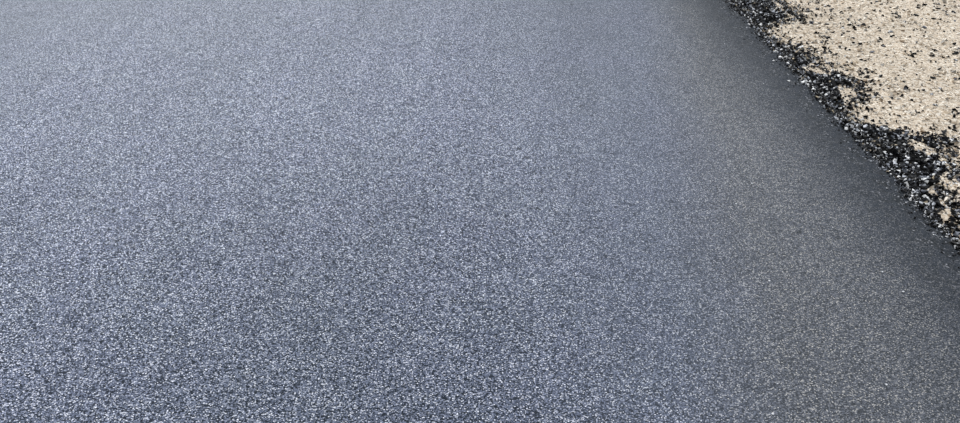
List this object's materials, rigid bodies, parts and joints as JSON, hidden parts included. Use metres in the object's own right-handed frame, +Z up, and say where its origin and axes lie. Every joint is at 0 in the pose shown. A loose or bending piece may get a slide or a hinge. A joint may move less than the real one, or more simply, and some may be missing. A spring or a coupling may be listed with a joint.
{
  "type": "asphalt pavement section",
  "caption": "Cut length of newly laid asphalt road: a rolled mat on crowned layers, with ragged edges of coated stone and crushed stone margins.",
  "frame": {"origin": "middle of the flat bottom, under the crown of the road and halfway between the two cut ends", "axes": "+X across the road to the right, +Y along the road, +Z up"},
  "size_m": [8.874, 4, 0.6139],
  "materials": {
    "soil": "matt",
    "sub_base_stone": "matt",
    "base_stone": "matt",
    "bitumen": "satin",
    "binder_asphalt": "matt",
    "mat_asphalt": "satin",
    "coated_stone": "satin",
    "bare_stone": "matt"
  },
  "bodies": {
    "root": {"subgrade": "soil", "sub_base": "sub_base_stone", "base_course": "base_stone", "prime_coat": "bitumen", "binder_course": "binder_asphalt", "tack_coat": "bitumen", "surface_course": "mat_asphalt", "edge_spill_left": "coated_stone", "edge_spill_right": "coated_stone", "coated_stones_left": "coated_stone", "coated_stones_right": "coated_stone", "bare_stones_left": "bare_stone", "bare_stones_right": "bare_stone"}
  },
  "joints": []
}
